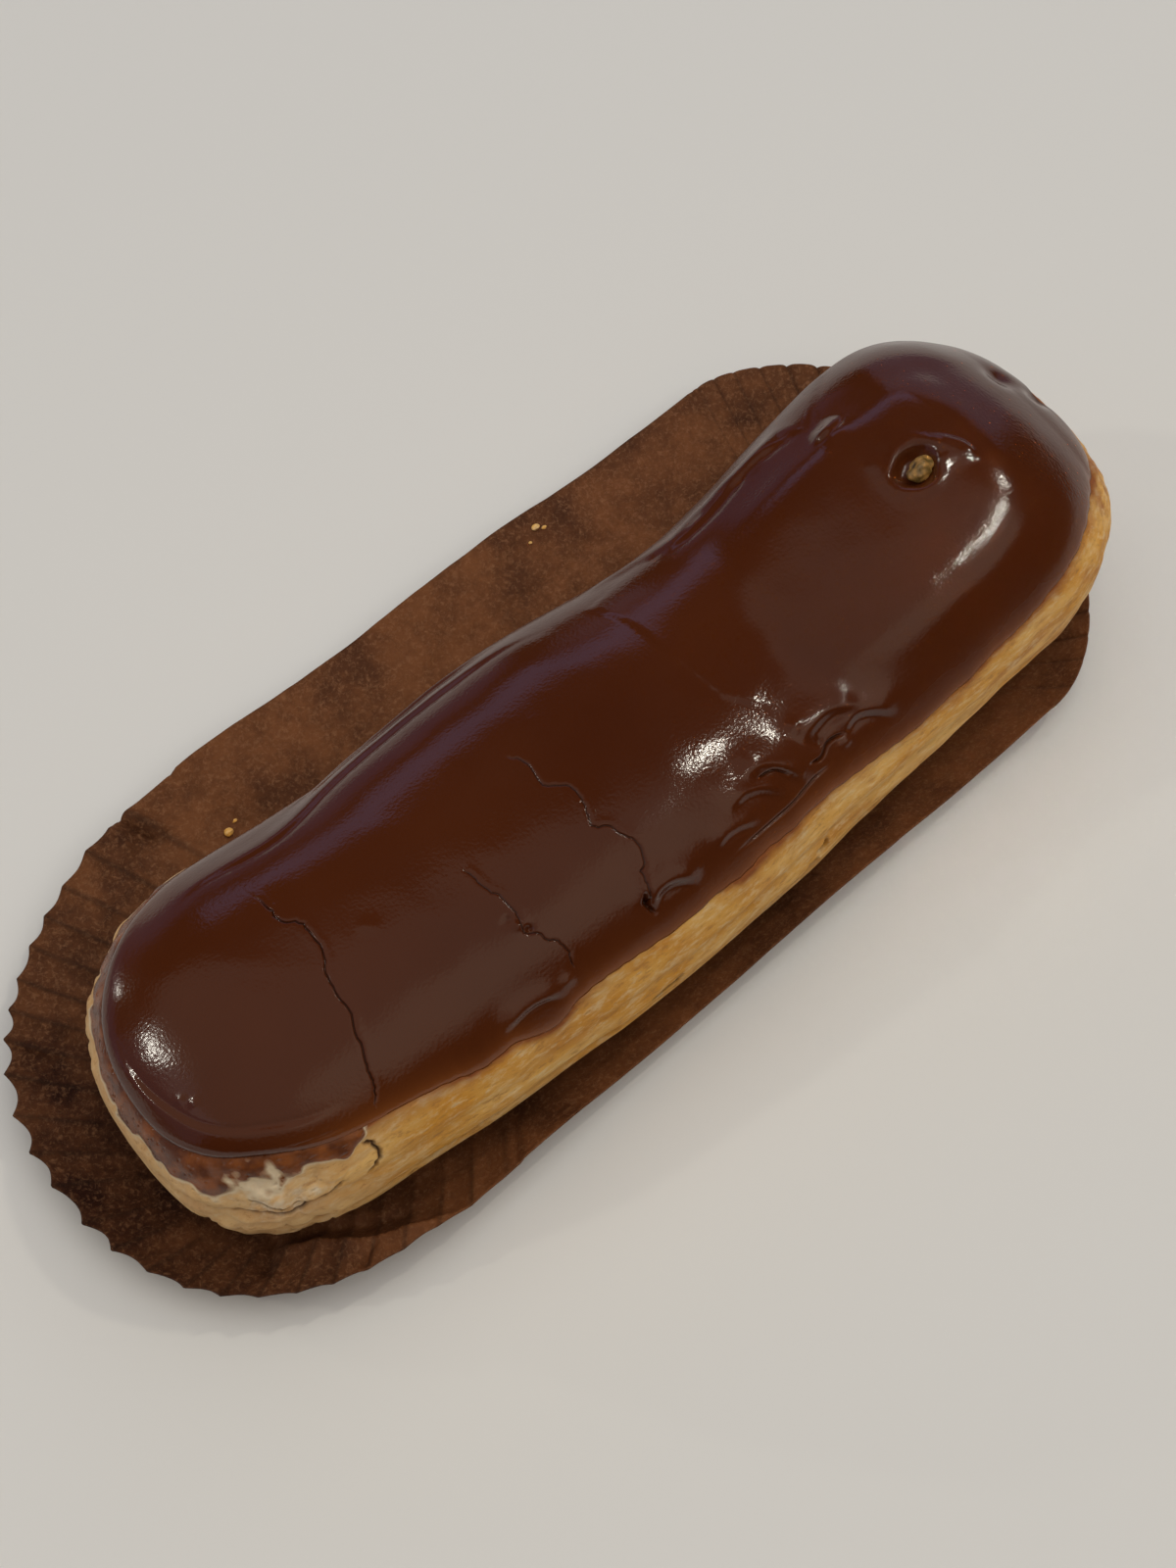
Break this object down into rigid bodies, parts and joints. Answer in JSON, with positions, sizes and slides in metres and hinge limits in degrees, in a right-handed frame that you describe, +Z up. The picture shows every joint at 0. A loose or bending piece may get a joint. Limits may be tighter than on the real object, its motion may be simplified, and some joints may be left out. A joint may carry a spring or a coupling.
{
  "type": "chocolate eclair",
  "caption": "Long choux bun with a humped end, coated on top with chocolate icing, lying in an open pleated paper case.",
  "frame": {"origin": "on the resting surface, under the middle of the whole object's box", "axes": "+X along the bun, from its plain end to its humped end; +Z up; +Y towards the wide side of the paper case"},
  "size_m": [0.148, 0.07, 0.0346],
  "materials": {
    "baked_choux": "dry baked crust, golden tan, paler and floury towards the base",
    "chocolate_icing": "smooth chocolate icing with a soft gloss",
    "greaseproof_paper": "thin dark brown greaseproof paper, matt, mottled with grease"
  },
  "bodies": {
    "root": {"choux_bun": "baked_choux", "chocolate_icing": "chocolate_icing", "paper_case": "greaseproof_paper"}
  },
  "joints": []
}
